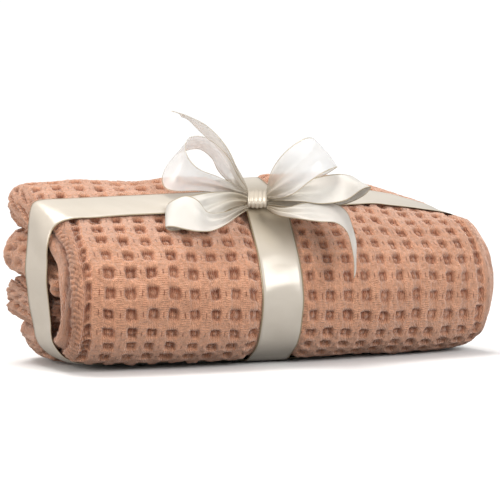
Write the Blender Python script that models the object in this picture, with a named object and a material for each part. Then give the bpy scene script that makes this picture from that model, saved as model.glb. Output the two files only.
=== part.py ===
"""Waffle-weave cotton blanket, folded into a bundle and tied with a satin ribbon.

The cloth is folded twice. First both its long ends come in to the middle, doubled, which
makes a strip of four plies with a round nose at each end. Then both ends of that strip are
turned in and it is folded in half: four levels, two back folds and one large front fold.
Sizes are in millimetres until a mesh is made; X runs along the bundle, Y to its back, Z up.
"""

import math

import bpy
import numpy as np
from mathutils.geometry import tessellate_polygon

MM = 0.001

# Linear colours and roughness of the two materials
COTTON = (0.658, 0.323, 0.202, 1)
COTTON_ROUGHNESS = 0.9
SATIN = (0.651, 0.578, 0.462, 1)
SATIN_ROUGHNESS = 0.35

# The bundle as a whole
LENGTH = 430.0
BACK = 80.0
HEIGHT = 152.0
SHOULDER = 118.0

# How high the ridge stands over the shoulder. Columns: x, z.
RIDGE = (
    (-215, 155),
    (-100, 156),
    (0, 158.5),
    (75, 160),
    (105, 154),
    (125, 148),
    (140, 144),
    (160, 138),
    (178, 133),
    (190, 129),
    (215, 127),
)
STACK_SWELL = 1.025

# The strip of four plies, as shares of its thickness: four plies and three gaps fill it
PLY_SHARE = 0.2275
GAP_SHARE = 0.03
NOSE_DEPTH = 17.0
MIDDLE_SLIT = 1.2

# The ribbon
RIBBON_WIDTH = 38.0
RIBBON_THICK = 0.6
SEAT_GAP = 0.45
BAND_LINES = 5
CROSS_X = -3.0
LONG_Y = -16.0
LONG_DRIFT = 0.2
LEAST_SIDE = 1.5
MOST_SIDE = 11.0

# The bow
BOW_TURN = 20.0
KNOT_SIZE = (16.0, 9.0, 24.0)
KNOT_FORWARD = 18.0
KNOT_LEFT = 8.0
TOP_SLOPE = 26.0

# Each strip of the bow, from the knot outwards: one row for each line across the ribbon.
# Columns: right, up, front of one edge, then right, up, front of the other edge.
BOW_STRIPS = {
    "bow_loop_upper_left": (
        (-8.6, 8, -1, -8.6, 1, -4),
        (-17, 21, 2, -22, 11, -13),
        (-24, 34, 4, -34, 22, -25),
        (-33, 45, 5, -40, 34, -29),
        (-45, 53, 4, -52, 42, -30),
        (-57, 53, 3, -70, 37, -25),
        (-61, 45, 5, -80, 24, -14),
        (-58, 35, 7, -81, 12, -4),
        (-49, 26, 7, -72, 7, 2),
        (-34, 20, 6, -48, 7, 4),
        (-19, 13, 5, -25, 4, 4),
        (-8.6, 7, 2, -8.6, 2, 3),
    ),
    "bow_loop_lower_left": (
        (-8.6, 3, 6, -8.6, -4, 7),
        (-20, 7, 8, -20, -6, 17),
        (-34, 7.5, 9, -34, -12, 30),
        (-48, 5.5, 12, -48, -18.5, 39),
        (-63, 1.5, 15, -63, -23.5, 44.5),
        (-73, -2.5, 20, -73, -24, 46.5),
        (-76, -4, 24.5, -76, -21.5, 47),
        (-71, 0, 24, -70, -21, 49),
        (-60, 4, 22.5, -58, -23.5, 51.5),
        (-50, 0, 28, -47, -25, 52),
        (-42, -9.5, 33.5, -37, -24.5, 48),
        (-30, -10.5, 31.5, -26, -20, 41),
        (-18, -7.5, 21.5, -16, -13.5, 27),
        (-8.6, -5, 10, -8.6, -9, 13),
    ),
    "bow_loop_upper_right": (
        (8.6, 8, 3, 8.6, 1, 5),
        (12, 23, 6, 19, 1, 12),
        (19, 35, 6, 31, 5, 17),
        (29, 45, 4, 44, 15, 18),
        (41, 52, 0, 57, 23, 12),
        (49, 51, -8, 68, 27, -2),
        (49, 44, -18, 67, 25, -16),
        (40, 33, -24, 56, 18, -23),
        (26, 21, -20, 36, 9, -22),
        (14, 12, -11, 19, 5, -14),
        (8.6, 8, -5, 8.6, 3, -7),
    ),
    "bow_loop_lower_right": (
        (8.6, 6, -1, 8.6, -0.5, 2),
        (22, 10, -4, 22, 0, 11),
        (38, 15, -8, 38, -0.5, 16.5),
        (54, 19, -10, 56, -3, 19),
        (69, 21, -9, 75, 0, 22),
        (79, 20, -7, 88, 9, 24.5),
        (85.5, 16.5, -8.5, 96, 11.5, 26),
        (82, 12, -11, 91.5, 5, 23),
        (75, 9.5, -16, 82, -1, 15),
        (66, 9, -21, 70, -5.5, 6.5),
        (49, 7, -19, 52, -8, 7.5),
        (34, 4, -13, 35, -8, 9),
        (20, 1, -5, 20, -7.5, 8.5),
        (8.6, -2.5, 1, 8.6, -5.5, 6),
    ),
    "bow_tail_left": (
        (-8.6, 6, -6, -8.6, 1, -8),
        (-14, 21, -12, -16, 12, -26),
        (-22, 38, -14, -25, 31, -42),
        (-31, 51, -14, -36, 44, -46),
        (-44, 63, -14, -50, 57, -46),
        (-58, 70, -14, -60, 67, -42),
        (-74, 75, -16, -66, 70, -34),
    ),
    "bow_tail_right": (
        (8.6, -6, 9.5, 8.6, -8, 12),
        (20, -7, 16, 18, -12, 27),
        (36, -3, 17, 36, -15, 38),
        (52, -1, 13, 52, -17, 42),
        (66, -3, 10, 66, -18, 41),
        (76, -10, 9, 75, -25, 40),
        (81, -22, 12, 79, -37, 42),
        (84, -36, 25, 81, -50, 46),
        (83, -52, 37, 81, -64, 48),
    ),
}


def strip_rows():
    """The strip's middle line from its one inner end to the other, seen from the right end.

    Columns: y, z, thickness, left nose, right nose, steps to the next row.
    """
    left, right = -LENGTH / 2, LENGTH / 2
    middle_level = [
        (-42, 66.0, 16, left + 24, right - 25, 1),
        (-12, 79.5, 33, left + 17, right - 20, 1),
        (16, 85.5, 35, left + 9, right - 16, 1),
        (41, 92.0, 38, left + 1, right - 14, 1),
    ]
    upper_back = back_fold(41, 92.0, 132.5, 38, left + 1, right - 16)
    top_level = [
        (41, 132.5, 39, left + 4, right - 20, 1),
        (16, 126.5, 37, left + 9, right - 22, 2),
        (-12, 118.5, 34, left + 16, right - 20, 1),
        (-24, 113.5, 32, left + 20, right - 16, 1),
    ]
    front_fold = [
        (-36, 106.0, 30, left + 24, right - 11, 1),
        (-50, 92.5, 30, left + 28, right - 5, 1),
        (-60, 76.5, 30, left + 28, right - 1, 2),
        (-65, 54.0, 30, left + 28, right, 2),
        (-53.6, 26.4, 30, left + 28, right - 2, 2),
        (-26, 15.0, 30, left + 28, right - 6, 1),
    ]
    bottom_level = [
        (0, 14.5, 29, left + 23, right - 10, 1),
        (16, 15.0, 30, left + 20, right - 12, 1),
        (45, 16.0, 32, left + 20, right - 14, 1),
    ]
    lower_back = back_fold(45, 16.0, 52.5, 34, left + 12, right - 16)
    second_level = [
        (45, 52.5, 37, left + 3, right - 14, 1),
        (16, 49.0, 34, left + 9, right - 16, 1),
        (-12, 45.5, 31, left + 17, right - 20, 1),
        (-36, 47.0, 22, left + 23, right - 25, 1),
    ]
    rows = middle_level + upper_back + top_level + front_fold
    rows = rows + bottom_level + lower_back + second_level
    return np.array(rows, float)


def back_fold(y, low, high, thick, left, right):
    """Three rows on the half circle that joins two levels at the back, noses drawn in."""
    middle = (low + high) / 2
    radius = (high - low) / 2
    rows = []
    for degrees in (-45, 0, 45):
        angle = math.radians(degrees)
        drawn_in = 20 * math.cos(angle) ** 2
        rows.append(
            (
                y + radius * math.cos(angle),
                middle + radius * math.sin(angle),
                thick,
                left + drawn_in,
                right - drawn_in,
                2,
            )
        )
    return rows


def smooth_line(rows):
    """A Catmull-Rom curve through the rows, cut into each row's own number of steps."""
    values = rows[:, :5]
    before = np.vstack([2 * values[0] - values[1], values[:-1]])
    after = np.vstack([values[1:], 2 * values[-1] - values[-2]])
    slope = (after - before) / 2
    line = []
    for i in range(len(rows) - 1):
        steps = int(rows[i, 5])
        for t in np.arange(steps) / steps:
            line.append(
                (2 * t**3 - 3 * t**2 + 1) * values[i]
                + (t**3 - 2 * t**2 + t) * slope[i]
                + (3 * t**2 - 2 * t**3) * values[i + 1]
                + (t**3 - t**2) * slope[i + 1]
            )
    line.append(values[-1])
    return np.array(line)


def ply_loop():
    """The outline of the folded ply across the strip: run points and nose points.

    Columns: side (-1 left nose, 0 along the strip, 1 right nose), distance along X from the
    nose's root (or X itself), and the share of the strip's half thickness, + outside.
    """
    ply = 2 * PLY_SHARE
    half_gap = GAP_SHARE
    faces = {"skin": 1.0, "lining": 1 - ply, "core": half_gap + ply, "heart": half_gap}
    edge = RIBBON_WIDTH / 2
    beside = [CROSS_X + d for d in (-edge - 7, -edge - 1, edge + 1, edge + 7)]
    along = {
        "skin": (-150, -105, -60, *beside, 60, 95, 130, 150, 170),
        "lining": (-150, -90, -30, 30, 90, 150),
        "core": (-150, -90, -30, 30, 90, 150),
        "heart": (-150, -90, -30, 30, 90, 150),
    }
    turns = {"skin": 9, "lining": 7, "core": 5, "heart": 3}

    def nose(face, side, from_share):
        """A half ellipse round the strip's end, from one share to the other."""
        share = faces[face]
        reach = NOSE_DEPTH * share
        angles = np.linspace(math.pi / 2, -math.pi / 2, turns[face])
        if from_share < 0:
            angles = angles[::-1]
        return [(side, reach * math.cos(a), share * math.sin(a)) for a in angles]

    def run(face, sign, start, end):
        """Points along the strip between two X, in walking order."""
        inside = [x for x in along[face] if min(start, end) < x < max(start, end)]
        if end < start:
            inside = inside[::-1]
        return [(0, x, sign * faces[face]) for x in inside]

    far = 1e6
    slit_left = -MIDDLE_SLIT / 2
    slit_right = MIDDLE_SLIT / 2
    fold = NOSE_DEPTH * ply
    loop = [(0, slit_left, -faces["skin"])]
    loop += run("skin", -1, slit_left, -far) + nose("skin", -1, -1)
    loop += run("skin", 1, -far, far) + nose("skin", 1, 1)
    loop += run("skin", -1, far, slit_right + fold)
    for a in np.linspace(0, math.pi, 5):
        middle = (faces["skin"] + faces["heart"]) / 2
        radius = (faces["skin"] - faces["heart"]) / 2
        x = slit_right + fold * (1 - math.sin(a))
        loop.append((0, x, -middle - radius * math.cos(a)))
    loop += run("heart", -1, slit_right + fold, far) + nose("heart", 1, -1)
    loop += run("heart", 1, far, -far) + nose("heart", -1, 1)
    loop += run("heart", -1, -far, slit_left)
    loop += [(0, slit_left, -faces["heart"]), (0, slit_left, -faces["core"])]
    loop += run("core", -1, slit_left, -far) + nose("core", -1, -1)
    loop += run("core", 1, -far, far) + nose("core", 1, 1)
    loop += run("core", -1, far, slit_right + fold + 2)
    loop += [(0, slit_right + fold, -faces["core"]), (0, slit_right + fold, -faces["lining"])]
    loop += run("lining", -1, slit_right + fold + 2, far) + nose("lining", 1, -1)
    loop += run("lining", 1, far, -far) + nose("lining", -1, 1)
    loop += run("lining", -1, -far, slit_left)
    loop += [(0, slit_left, -faces["lining"])]
    return np.array(loop, float)


def window(value, centre, half, soft):
    """1 inside centre +- half, falling smoothly to 0 over a soft edge."""
    share = np.clip((half + soft - np.abs(value - centre)) / soft, 0, 1)
    return share * share * (3 - 2 * share)


def drift(x):
    """How far back of its own line the lengthwise ribbon lies, right of the crossing."""
    return LONG_DRIFT * np.maximum(x - CROSS_X - RIBBON_WIDTH / 2 - 1, 0)


def shape_bundle(points):
    """The folded block's uneven shape: front bowed out, ridge uneven, both ends lifted."""
    x, y, z = points.T
    bow = 0.00044 * (x + 70) ** 2 / (2 * BACK)
    y = BACK + (y - BACK) * (1 - bow)
    z = z * STACK_SWELL
    ridge = np.interp(x, *np.transpose(RIDGE))
    above = np.maximum(z - SHOULDER, 0)
    z = z - above + above * (ridge - SHOULDER) / (HEIGHT * STACK_SWELL - SHOULDER)
    low = (1 - np.minimum(z / HEIGHT, 1)) ** 2
    left = np.clip((-x - 145) / 70, 0, 1)
    right = np.clip((x - 175) / 40, 0, 1)
    z = z + (14 * left**2 + 8 * right**2) * low
    across = window(x, CROSS_X, RIBBON_WIDTH / 2 + 1, 7)
    along = window(y - drift(x), LONG_Y, RIBBON_WIDTH / 2 + 1, 7)
    under = np.clip(1 - z / 60, 0, 1)
    y = y + 2.5 * across * np.clip(-y / 80, -1, 1)
    z = z - (3.0 * across + 2.0 * along) * z / HEIGHT
    z = z + under * (3.5 * across + 3.8 * along)
    return np.column_stack([x, y, z])


def blanket_mesh():
    """Points and faces of the blanket: the ply's outline carried along the strip."""
    line = smooth_line(strip_rows())
    loop = ply_loop()
    heading = np.gradient(line[:, :2], axis=0)
    heading /= np.linalg.norm(heading, axis=1)[:, None]
    outward = np.column_stack([heading[:, 1], -heading[:, 0]])
    side, along, share = loop.T
    left_root = line[:, 3:4] + NOSE_DEPTH
    right_root = line[:, 4:5] - NOSE_DEPTH
    x = np.where(side < 0, left_root - along, np.where(side > 0, right_root + along, along))
    reach = share * line[:, 2:3] / 2
    y = line[:, 0:1] + reach * outward[:, 0:1]
    z = line[:, 1:2] + reach * outward[:, 1:2]
    grid = np.stack([x, y, z], axis=-1)
    stations, count = grid.shape[:2]
    first = np.arange(stations - 1)[:, None] * count
    here = np.arange(count)[None, :]
    after = (here + 1) % count
    beyond = first + count
    quads = np.stack([first + here, beyond + here, beyond + after, first + after], -1)
    cap = tessellate_polygon([[(a, b, 0) for a, b in zip(x[0], reach[0])]])
    end = (stations - 1) * count
    faces = [tuple(int(n) for n in quad) for quad in quads.reshape(-1, 4)]
    faces += [tuple(t) for t in cap]
    faces += [tuple(end + n for n in reversed(t)) for t in cap]
    return shape_bundle(grid.reshape(-1, 3)), faces


def crossing_points(points, edges, angle, offset):
    """Where the edges cross the upright plane at this turn about Z, as (along, z) pairs."""
    along = points[:, 0] * math.cos(angle) + points[:, 1] * math.sin(angle)
    across = points[:, 1] * math.cos(angle) - points[:, 0] * math.sin(angle) - offset
    one, two = edges.T
    cut = across[one] * across[two] < 0
    one, two = one[cut], two[cut]
    share = across[one] / (across[one] - across[two])
    return np.column_stack(
        [
            along[one] + share * (along[two] - along[one]),
            points[one, 2] + share * (points[two, 2] - points[one, 2]),
        ]
    )


def taut_outline(flat):
    """The convex outline round points in a plane, counter-clockwise."""
    flat = flat[np.lexsort((flat[:, 1], flat[:, 0]))]
    halves = []
    for ordered in (flat, flat[::-1]):
        chain = []
        for point in ordered:
            while len(chain) > 1:
                (ax, ay), (bx, by) = chain[-2], chain[-1]
                if (bx - ax) * (point[1] - ay) - (by - ay) * (point[0] - ax) > 0:
                    break
                chain.pop()
            chain.append(point)
        halves += chain[:-1]
    return np.array(halves)


def rays_to_outline(outline, centre, directions, gap):
    """How far each ray runs from the centre to the outline, moved out by a gap."""
    side = np.roll(outline, -1, axis=0) - outline
    normal = np.column_stack([side[:, 1], -side[:, 0]])
    normal /= np.linalg.norm(normal, axis=1)[:, None]
    depth = np.sum(normal * (outline - centre), axis=1) + gap
    facing = directions @ normal.T
    return np.where(facing > 1e-9, depth / np.maximum(facing, 1e-9), np.inf).min(axis=1)


def ray_points(outline):
    """Points round an outline: its corners, close ones made one, with long sides cut."""
    kept = [outline[0]]
    for point in outline[1:]:
        if np.linalg.norm(point - kept[-1]) > LEAST_SIDE:
            kept.append(point)
    points = []
    for here, after in zip(kept, kept[1:] + kept[:1]):
        cuts = max(1, math.ceil(np.linalg.norm(after - here) / MOST_SIDE))
        points += [here + (after - here) * i / cuts for i in range(cuts)]
    return np.array(points)


def band_mesh(solids, angle, offset):
    """Points and faces of a ribbon drawn taut round the solids."""
    half = RIBBON_WIDTH / 2
    lines = offset + np.linspace(-half, half, BAND_LINES)
    beside = half / (BAND_LINES - 1)
    cuts = []
    for line in lines:
        near = line + beside * np.array((-1, -0.5, 0, 0.5, 1))
        near = np.clip(near, offset - half - SEAT_GAP, offset + half + SEAT_GAP)
        found = [crossing_points(p, e, angle, t) for p, e in solids for t in near]
        cuts.append(taut_outline(np.vstack(found)))
    middle = cuts[BAND_LINES // 2]
    centre = (middle.min(axis=0) + middle.max(axis=0)) / 2
    directions = ray_points(middle) - centre
    directions /= np.linalg.norm(directions, axis=1)[:, None]
    steps = len(directions)
    rings = []
    for gap in (SEAT_GAP, SEAT_GAP + RIBBON_THICK):
        for outline, line in zip(cuts, lines):
            reach = rays_to_outline(outline, centre, directions, gap)
            ring = centre + directions * reach[:, None]
            chord = np.roll(ring, -1, axis=0) - ring
            normal = np.column_stack([chord[:, 1], -chord[:, 0]])
            normal /= np.linalg.norm(normal, axis=1)[:, None]
            proud = (normal @ outline.T).max(axis=1) + gap - np.sum(normal * ring, axis=1)
            proud = np.maximum(np.maximum(proud, np.roll(proud, 1)), 0)
            ring = centre + directions * (reach + proud)[:, None]
            rings.append(
                np.column_stack(
                    [
                        ring[:, 0] * math.cos(angle) - line * math.sin(angle),
                        ring[:, 0] * math.sin(angle) + line * math.cos(angle),
                        ring[:, 1],
                    ]
                )
            )
    grid = np.stack(rings[:BAND_LINES] + rings[:BAND_LINES - 1:-1], axis=1)
    return grid.reshape(-1, 3), [f[::-1] for f in ring_faces(steps, grid.shape[1], True)]


def ring_faces(rows, columns, joined):
    """Quads over a grid whose columns close on themselves, and whose rows may too."""
    faces = []
    for i in range(rows if joined else rows - 1):
        here, there = i * columns, (i + 1) % rows * columns
        for j in range(columns):
            k = (j + 1) % columns
            faces.append((here + j, here + k, there + k, there + j))
    return faces


def edges_of(faces):
    """Each edge of the faces once."""
    pairs = [(f[i], f[(i + 1) % len(f)]) for f in faces for i in range(len(f))]
    return np.unique(np.sort(np.array(pairs), axis=1), axis=0)


def bow_to_bundle(points, knot):
    """Points in the bow's own frame (right, up, front of the knot), turned and placed."""
    right, up, front = np.asarray(points, float).T
    turn = math.radians(BOW_TURN)
    x = knot[0] + right * math.cos(turn) - front * math.sin(turn)
    y = knot[1] - right * math.sin(turn) - front * math.cos(turn)
    return np.column_stack([x, y, knot[2] + up])


def smooth_rows(rows, steps):
    """A Catmull-Rom curve through rows of any width, with the same steps between all."""
    rows = np.asarray(rows, float)
    slope = np.gradient(rows, axis=0)
    line = []
    for i in range(len(rows) - 1):
        for t in np.arange(steps) / steps:
            line.append(
                (2 * t**3 - 3 * t**2 + 1) * rows[i]
                + (t**3 - 2 * t**2 + t) * slope[i]
                + (3 * t**2 - 2 * t**3) * rows[i + 1]
                + (t**3 - t**2) * slope[i + 1]
            )
    line.append(rows[-1])
    return np.array(line)


def strip_mesh(rows, knot):
    """Points and faces of a ribbon between two edges, each row one line across it. Its two
    sides are cut into triangles along the same lines, so that they never cross."""
    line = smooth_rows(rows, 2)
    first, second = line[:, :3], line[:, 3:]
    middle = (first + second) / 2
    along = np.gradient(middle, axis=0)
    normal = np.cross(along, second - first)
    normal /= np.linalg.norm(normal, axis=1)[:, None]
    step = normal * RIBBON_THICK / 2
    above = [first + step, middle + step, second + step]
    below = [second - step, middle - step, first - step]
    grid = np.stack(above + below, axis=1)
    count = len(line)
    faces = []
    for a, b, c, d in ring_faces(count, 6, False):
        if a % 6 < 3:
            faces += [(a, b, c), (a, c, d)]
        else:
            faces += [(a, b, d), (b, c, d)]
    faces += [(5, 4, 1, 0), (4, 3, 2, 1)]
    end = (count - 1) * 6
    faces += [(end, end + 1, end + 4, end + 5), (end + 1, end + 2, end + 3, end + 4)]
    return bow_to_bundle(grid.reshape(-1, 3), knot), [f[::-1] for f in faces]


def seat_height(band):
    """The height of the knot's middle: it lies on the sloping band, a gap clear of it."""
    slope = math.radians(TOP_SLOPE)
    back = band[:, 1] - (LONG_Y - KNOT_FORWARD)
    under = (np.abs(back) < KNOT_SIZE[2]) & (band[:, 2] > HEIGHT / 2)
    seat = (band[under, 2] - back[under] * math.tan(slope)).max()
    return seat + (KNOT_SIZE[1] / 2 + SEAT_GAP) / math.cos(slope)


def knot_mesh(knot):
    """Points and faces of the knot: a band pulled round the waist, lying on the slope."""
    wide, thick, long = (size / 2 for size in KNOT_SIZE)
    rings, sides = 5, 16
    slope = math.radians(TOP_SLOPE)
    points = []
    for i in range(rings):
        along = -1 + 2 * i / (rings - 1)
        swell = 1 - 0.10 * along**2
        for j in range(sides):
            turn = 2 * math.pi * j / sides
            out = thick * swell * math.copysign(abs(math.cos(turn)) ** 0.7, math.cos(turn))
            down = long * swell * math.copysign(abs(math.sin(turn)) ** 0.7, math.sin(turn))
            up = out * math.cos(slope) - down * math.sin(slope)
            front = out * math.sin(slope) + down * math.cos(slope)
            points.append((wide * along, up, front))
    faces = ring_faces(rings, sides, False)
    faces += [tuple(range(sides))[::-1], tuple(range((rings - 1) * sides, rings * sides))]
    return bow_to_bundle(points, knot), faces


def add_mesh(name, points, faces, colour, roughness):
    """One named object from points in millimetres, with its own material."""
    mesh = bpy.data.meshes.new(name)
    mesh.from_pydata([tuple(p) for p in np.asarray(points) * MM], [], faces)
    mesh.update()
    obj = bpy.data.objects.new(name, mesh)
    bpy.context.scene.collection.objects.link(obj)
    material = bpy.data.materials.new(name)
    material.use_nodes = True
    shader = material.node_tree.nodes["Principled BSDF"]
    shader.inputs["Base Color"].default_value = colour
    shader.inputs["Roughness"].default_value = roughness
    mesh.materials.append(material)
    return obj


def main():
    for obj in list(bpy.data.objects):
        bpy.data.objects.remove(obj)
    cloth, faces = blanket_mesh()
    cloth_edges = edges_of(faces)
    meshes = {"blanket": (cloth, faces)}

    straight = cloth - np.outer(drift(cloth[:, 0]), (0, 1, 0))
    points, faces = band_mesh([(straight, cloth_edges)], 0.0, LONG_Y)
    points = points + np.outer(drift(points[:, 0]), (0, 1, 0))
    meshes["ribbon_long"] = (points, faces)

    under = [(cloth, cloth_edges), (points, edges_of(faces))]
    points, faces = band_mesh(under, math.pi / 2, -CROSS_X)
    meshes["ribbon_cross"] = (points, faces)

    knot = (CROSS_X - KNOT_LEFT, LONG_Y - KNOT_FORWARD, seat_height(points))
    meshes["bow_knot"] = knot_mesh(knot)
    for name, rows in BOW_STRIPS.items():
        meshes[name] = strip_mesh(rows, knot)

    everything = np.vstack([points for points, faces in meshes.values()])
    middle = (everything.min(axis=0) + everything.max(axis=0)) / 2
    middle[2] = 0
    for name, (points, faces) in meshes.items():
        if name == "blanket":
            add_mesh(name, points - middle, faces, COTTON, COTTON_ROUGHNESS)
        else:
            add_mesh(name, points - middle, faces, SATIN, SATIN_ROUGHNESS)


main()
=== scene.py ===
import math

import bpy
import numpy as np
from mathutils import Matrix, Vector
from mathutils.geometry import tessellate_polygon


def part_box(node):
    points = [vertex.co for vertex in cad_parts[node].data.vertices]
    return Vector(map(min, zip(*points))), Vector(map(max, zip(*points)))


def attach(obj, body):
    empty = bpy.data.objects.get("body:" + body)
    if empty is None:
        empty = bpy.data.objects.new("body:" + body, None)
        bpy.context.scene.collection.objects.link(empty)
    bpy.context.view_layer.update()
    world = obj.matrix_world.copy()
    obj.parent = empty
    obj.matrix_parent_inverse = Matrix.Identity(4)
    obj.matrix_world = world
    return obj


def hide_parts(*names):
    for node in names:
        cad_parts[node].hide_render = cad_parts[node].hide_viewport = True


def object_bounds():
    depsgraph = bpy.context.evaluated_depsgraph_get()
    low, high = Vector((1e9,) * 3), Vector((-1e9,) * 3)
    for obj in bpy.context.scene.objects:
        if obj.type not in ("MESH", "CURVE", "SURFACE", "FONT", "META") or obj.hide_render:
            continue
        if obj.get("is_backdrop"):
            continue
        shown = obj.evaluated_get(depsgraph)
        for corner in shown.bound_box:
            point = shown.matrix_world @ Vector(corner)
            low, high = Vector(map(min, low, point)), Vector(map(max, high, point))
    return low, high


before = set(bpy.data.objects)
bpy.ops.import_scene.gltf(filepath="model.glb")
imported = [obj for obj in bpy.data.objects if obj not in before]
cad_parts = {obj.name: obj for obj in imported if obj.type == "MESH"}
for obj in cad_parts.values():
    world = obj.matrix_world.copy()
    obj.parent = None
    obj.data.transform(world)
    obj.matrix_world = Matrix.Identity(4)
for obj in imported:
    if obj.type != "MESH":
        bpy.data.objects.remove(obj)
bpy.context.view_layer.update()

# ---- Blanket -------------------------------------------------------------------------------
# A cotton throw in waffle weave, about 100 x 130 cm. Both long ends are folded in to the
# middle, which makes a soft strip with a round nose at each end, and the strip is folded
# back and forth: four levels, two folds at the back and one deep fold down the front.
LEFT, RIGHT, BACK = -215.0, 215.0, 80.0
STACK_HEIGHT, STACK_SWELL, SHOULDER = 152.0, 1.025, 118.0
NOSE = 17.0
PLY = 0.455  # a ply's share of half the strip's thickness
CROSS_X, LONG_Y, RIBBON_WIDE, DRIFT = -3.0, -16.0, 38.0, 0.2
CELL_WIDE, PIT_DEEP = 17.475, 4.0


def back_fold(y, low, high, thick, left, right):
    """Three rows on the half circle between two levels, the noses drawn in by 20 cos2."""
    turn = np.radians((-45.0, 0.0, 45.0))
    drawn_in = 20 * np.cos(turn) ** 2
    radius = (high - low) / 2
    return np.column_stack([
        y + radius * np.cos(turn),
        (low + high) / 2 + radius * np.sin(turn),
        np.full(3, thick),
        left + drawn_in,
        right - drawn_in,
    ])


# The strip's middle line. Columns: y, z, thickness, left nose, right nose
STRIP = np.vstack([
    (-42, 66.0, 16, LEFT + 24, RIGHT - 25),
    (-12, 79.5, 33, LEFT + 17, RIGHT - 20),
    (16, 85.5, 35, LEFT + 9, RIGHT - 16),
    (41, 92.0, 38, LEFT + 1, RIGHT - 14),
    back_fold(41, 92.0, 132.5, 38, LEFT + 1, RIGHT - 16),
    (41, 132.5, 39, LEFT + 4, RIGHT - 20),
    (16, 126.5, 37, LEFT + 9, RIGHT - 22),
    (-12, 118.5, 34, LEFT + 16, RIGHT - 20),
    (-24, 113.5, 32, LEFT + 20, RIGHT - 16),
    (-36, 106.0, 30, LEFT + 24, RIGHT - 11),
    (-50, 92.5, 30, LEFT + 28, RIGHT - 5),
    (-60, 76.5, 30, LEFT + 28, RIGHT - 1),
    (-65, 54.0, 30, LEFT + 28, RIGHT),
    (-53.6, 26.4, 30, LEFT + 28, RIGHT - 2),
    (-26, 15.0, 30, LEFT + 28, RIGHT - 6),
    (0, 14.5, 29, LEFT + 23, RIGHT - 10),
    (16, 15.0, 30, LEFT + 20, RIGHT - 12),
    (45, 16.0, 32, LEFT + 20, RIGHT - 14),
    back_fold(45, 16.0, 52.5, 34, LEFT + 12, RIGHT - 16),
    (45, 52.5, 37, LEFT + 3, RIGHT - 14),
    (16, 49.0, 34, LEFT + 9, RIGHT - 16),
    (-12, 45.5, 31, LEFT + 17, RIGHT - 20),
    (-36, 47.0, 22, LEFT + 23, RIGHT - 25),
])

# Height of the ridge along the bundle. Columns: x, z
RIDGE = np.array([
    (-215, 155), (-100, 156), (0, 158.5), (75, 160), (105, 154), (125, 148),
    (140, 144), (160, 138), (178, 133), (190, 129), (215, 127),
])

# Where the rows of cells lie along the strip's outer face. Columns: distance, row number
CELL_ROWS = np.array([
    (0, -17.6), (205, -5.7), (289, 0), (314, 2), (344, 4), (396, 7), (421, 9), (721, 26.4),
])

# How close together the cloth is worked out along the strip. Columns: distance, step
STEPS = np.array([(0, 2.4), (85, 2.2), (105, 1.7), (195, 1.3), (455, 1.3), (475, 2.3), (721, 2.0)])


def strip_at(row):
    """The strip's values at fractional rows, by a Catmull-Rom curve, and their rate of change."""
    before = np.vstack([2 * STRIP[0] - STRIP[1], STRIP[:-1]])
    after = np.vstack([STRIP[1:], 2 * STRIP[-1] - STRIP[-2]])
    slope = (after - before) / 2
    i = np.clip(np.floor(row).astype(int), 0, len(STRIP) - 2)
    f = (row - i)[:, None]
    value = (2 * f**3 - 3 * f**2 + 1) * STRIP[i] + (f**3 - 2 * f**2 + f) * slope[i]
    value += (3 * f**2 - 2 * f**3) * STRIP[i + 1] + (f**3 - f**2) * slope[i + 1]
    rate = (6 * f**2 - 6 * f) * (STRIP[i] - STRIP[i + 1]) + (3 * f**2 - 4 * f + 1) * slope[i]
    rate += (3 * f**2 - 2 * f) * slope[i + 1]
    return value, rate


def walked(points):
    """Distance walked along a line of points, from its first one."""
    steps = np.linalg.norm(np.diff(points, axis=0), axis=1)
    return np.concatenate([[0], np.cumsum(steps)])


def soft_window(value, centre, half, soft):
    """1 within centre +- half, falling to 0 over the soft edge as 3s2 - 2s3."""
    s = np.clip((half + soft - np.abs(value - centre)) / soft, 0, 1)
    return s * s * (3 - 2 * s)


def drift(x):
    """How far back the lengthwise ribbon lies: a fixed share of the way right of the crossing."""
    return DRIFT * np.maximum(x - CROSS_X - RIBBON_WIDE / 2 - 1, 0)


def shape_bundle(p):
    """The straight stack made uneven: front bowed in, ridge by its table, ends lifted, and
    two tracks pressed in where the ribbons lie."""
    x, y, z = p[..., 0], p[..., 1], p[..., 2]
    y = BACK + (y - BACK) * (1 - 0.00044 * (x + 70) ** 2 / (2 * BACK))
    z = z * STACK_SWELL
    above = np.maximum(z - SHOULDER, 0)
    ridge = np.interp(x, RIDGE[:, 0], RIDGE[:, 1])
    z = z - above + above * (ridge - SHOULDER) / (STACK_HEIGHT * STACK_SWELL - SHOULDER)
    low = (1 - np.minimum(z / STACK_HEIGHT, 1)) ** 2
    left, right = np.clip((-x - 145) / 70, 0, 1), np.clip((x - 175) / 40, 0, 1)
    z = z + (14 * left**2 + 8 * right**2) * low
    across = soft_window(x, CROSS_X, RIBBON_WIDE / 2 + 1, 7)
    along = soft_window(y - drift(x), LONG_Y, RIBBON_WIDE / 2 + 1, 7)
    under = np.clip(1 - z / 60, 0, 1)
    y = y + 2.5 * across * np.clip(-y / 80, -1, 1)
    z = z - (3.0 * across + 2.0 * along) * z / STACK_HEIGHT
    z = z + under * (3.5 * across + 3.8 * along)
    return np.stack([x, y, z], -1)


def ripple(u, v, size, seed):
    """A smooth random field, about -1 to 1: the mean of nine sine waves near one wavelength."""
    rng = np.random.default_rng(seed)
    turns, starts = rng.uniform(0, 2 * np.pi, 9), rng.uniform(0, 2 * np.pi, 9)
    scales = rng.uniform(0.7, 1.5, 9)
    total = 0
    for turn, start, scale in zip(turns, starts, scales):
        way = u * np.cos(turn) + v * np.sin(turn)
        total = total + np.sin(2 * np.pi * scale / size * way + start)
    return total / 4.5


def cell_chance(i, j, seed):
    """One number from -1 to 1 for each cell: the broken-off part of a large sine."""
    n = np.sin(i * 127.1 + j * 311.7 + seed * 74.7) * 43758.5453
    return 2 * (n - np.floor(n)) - 1


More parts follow.
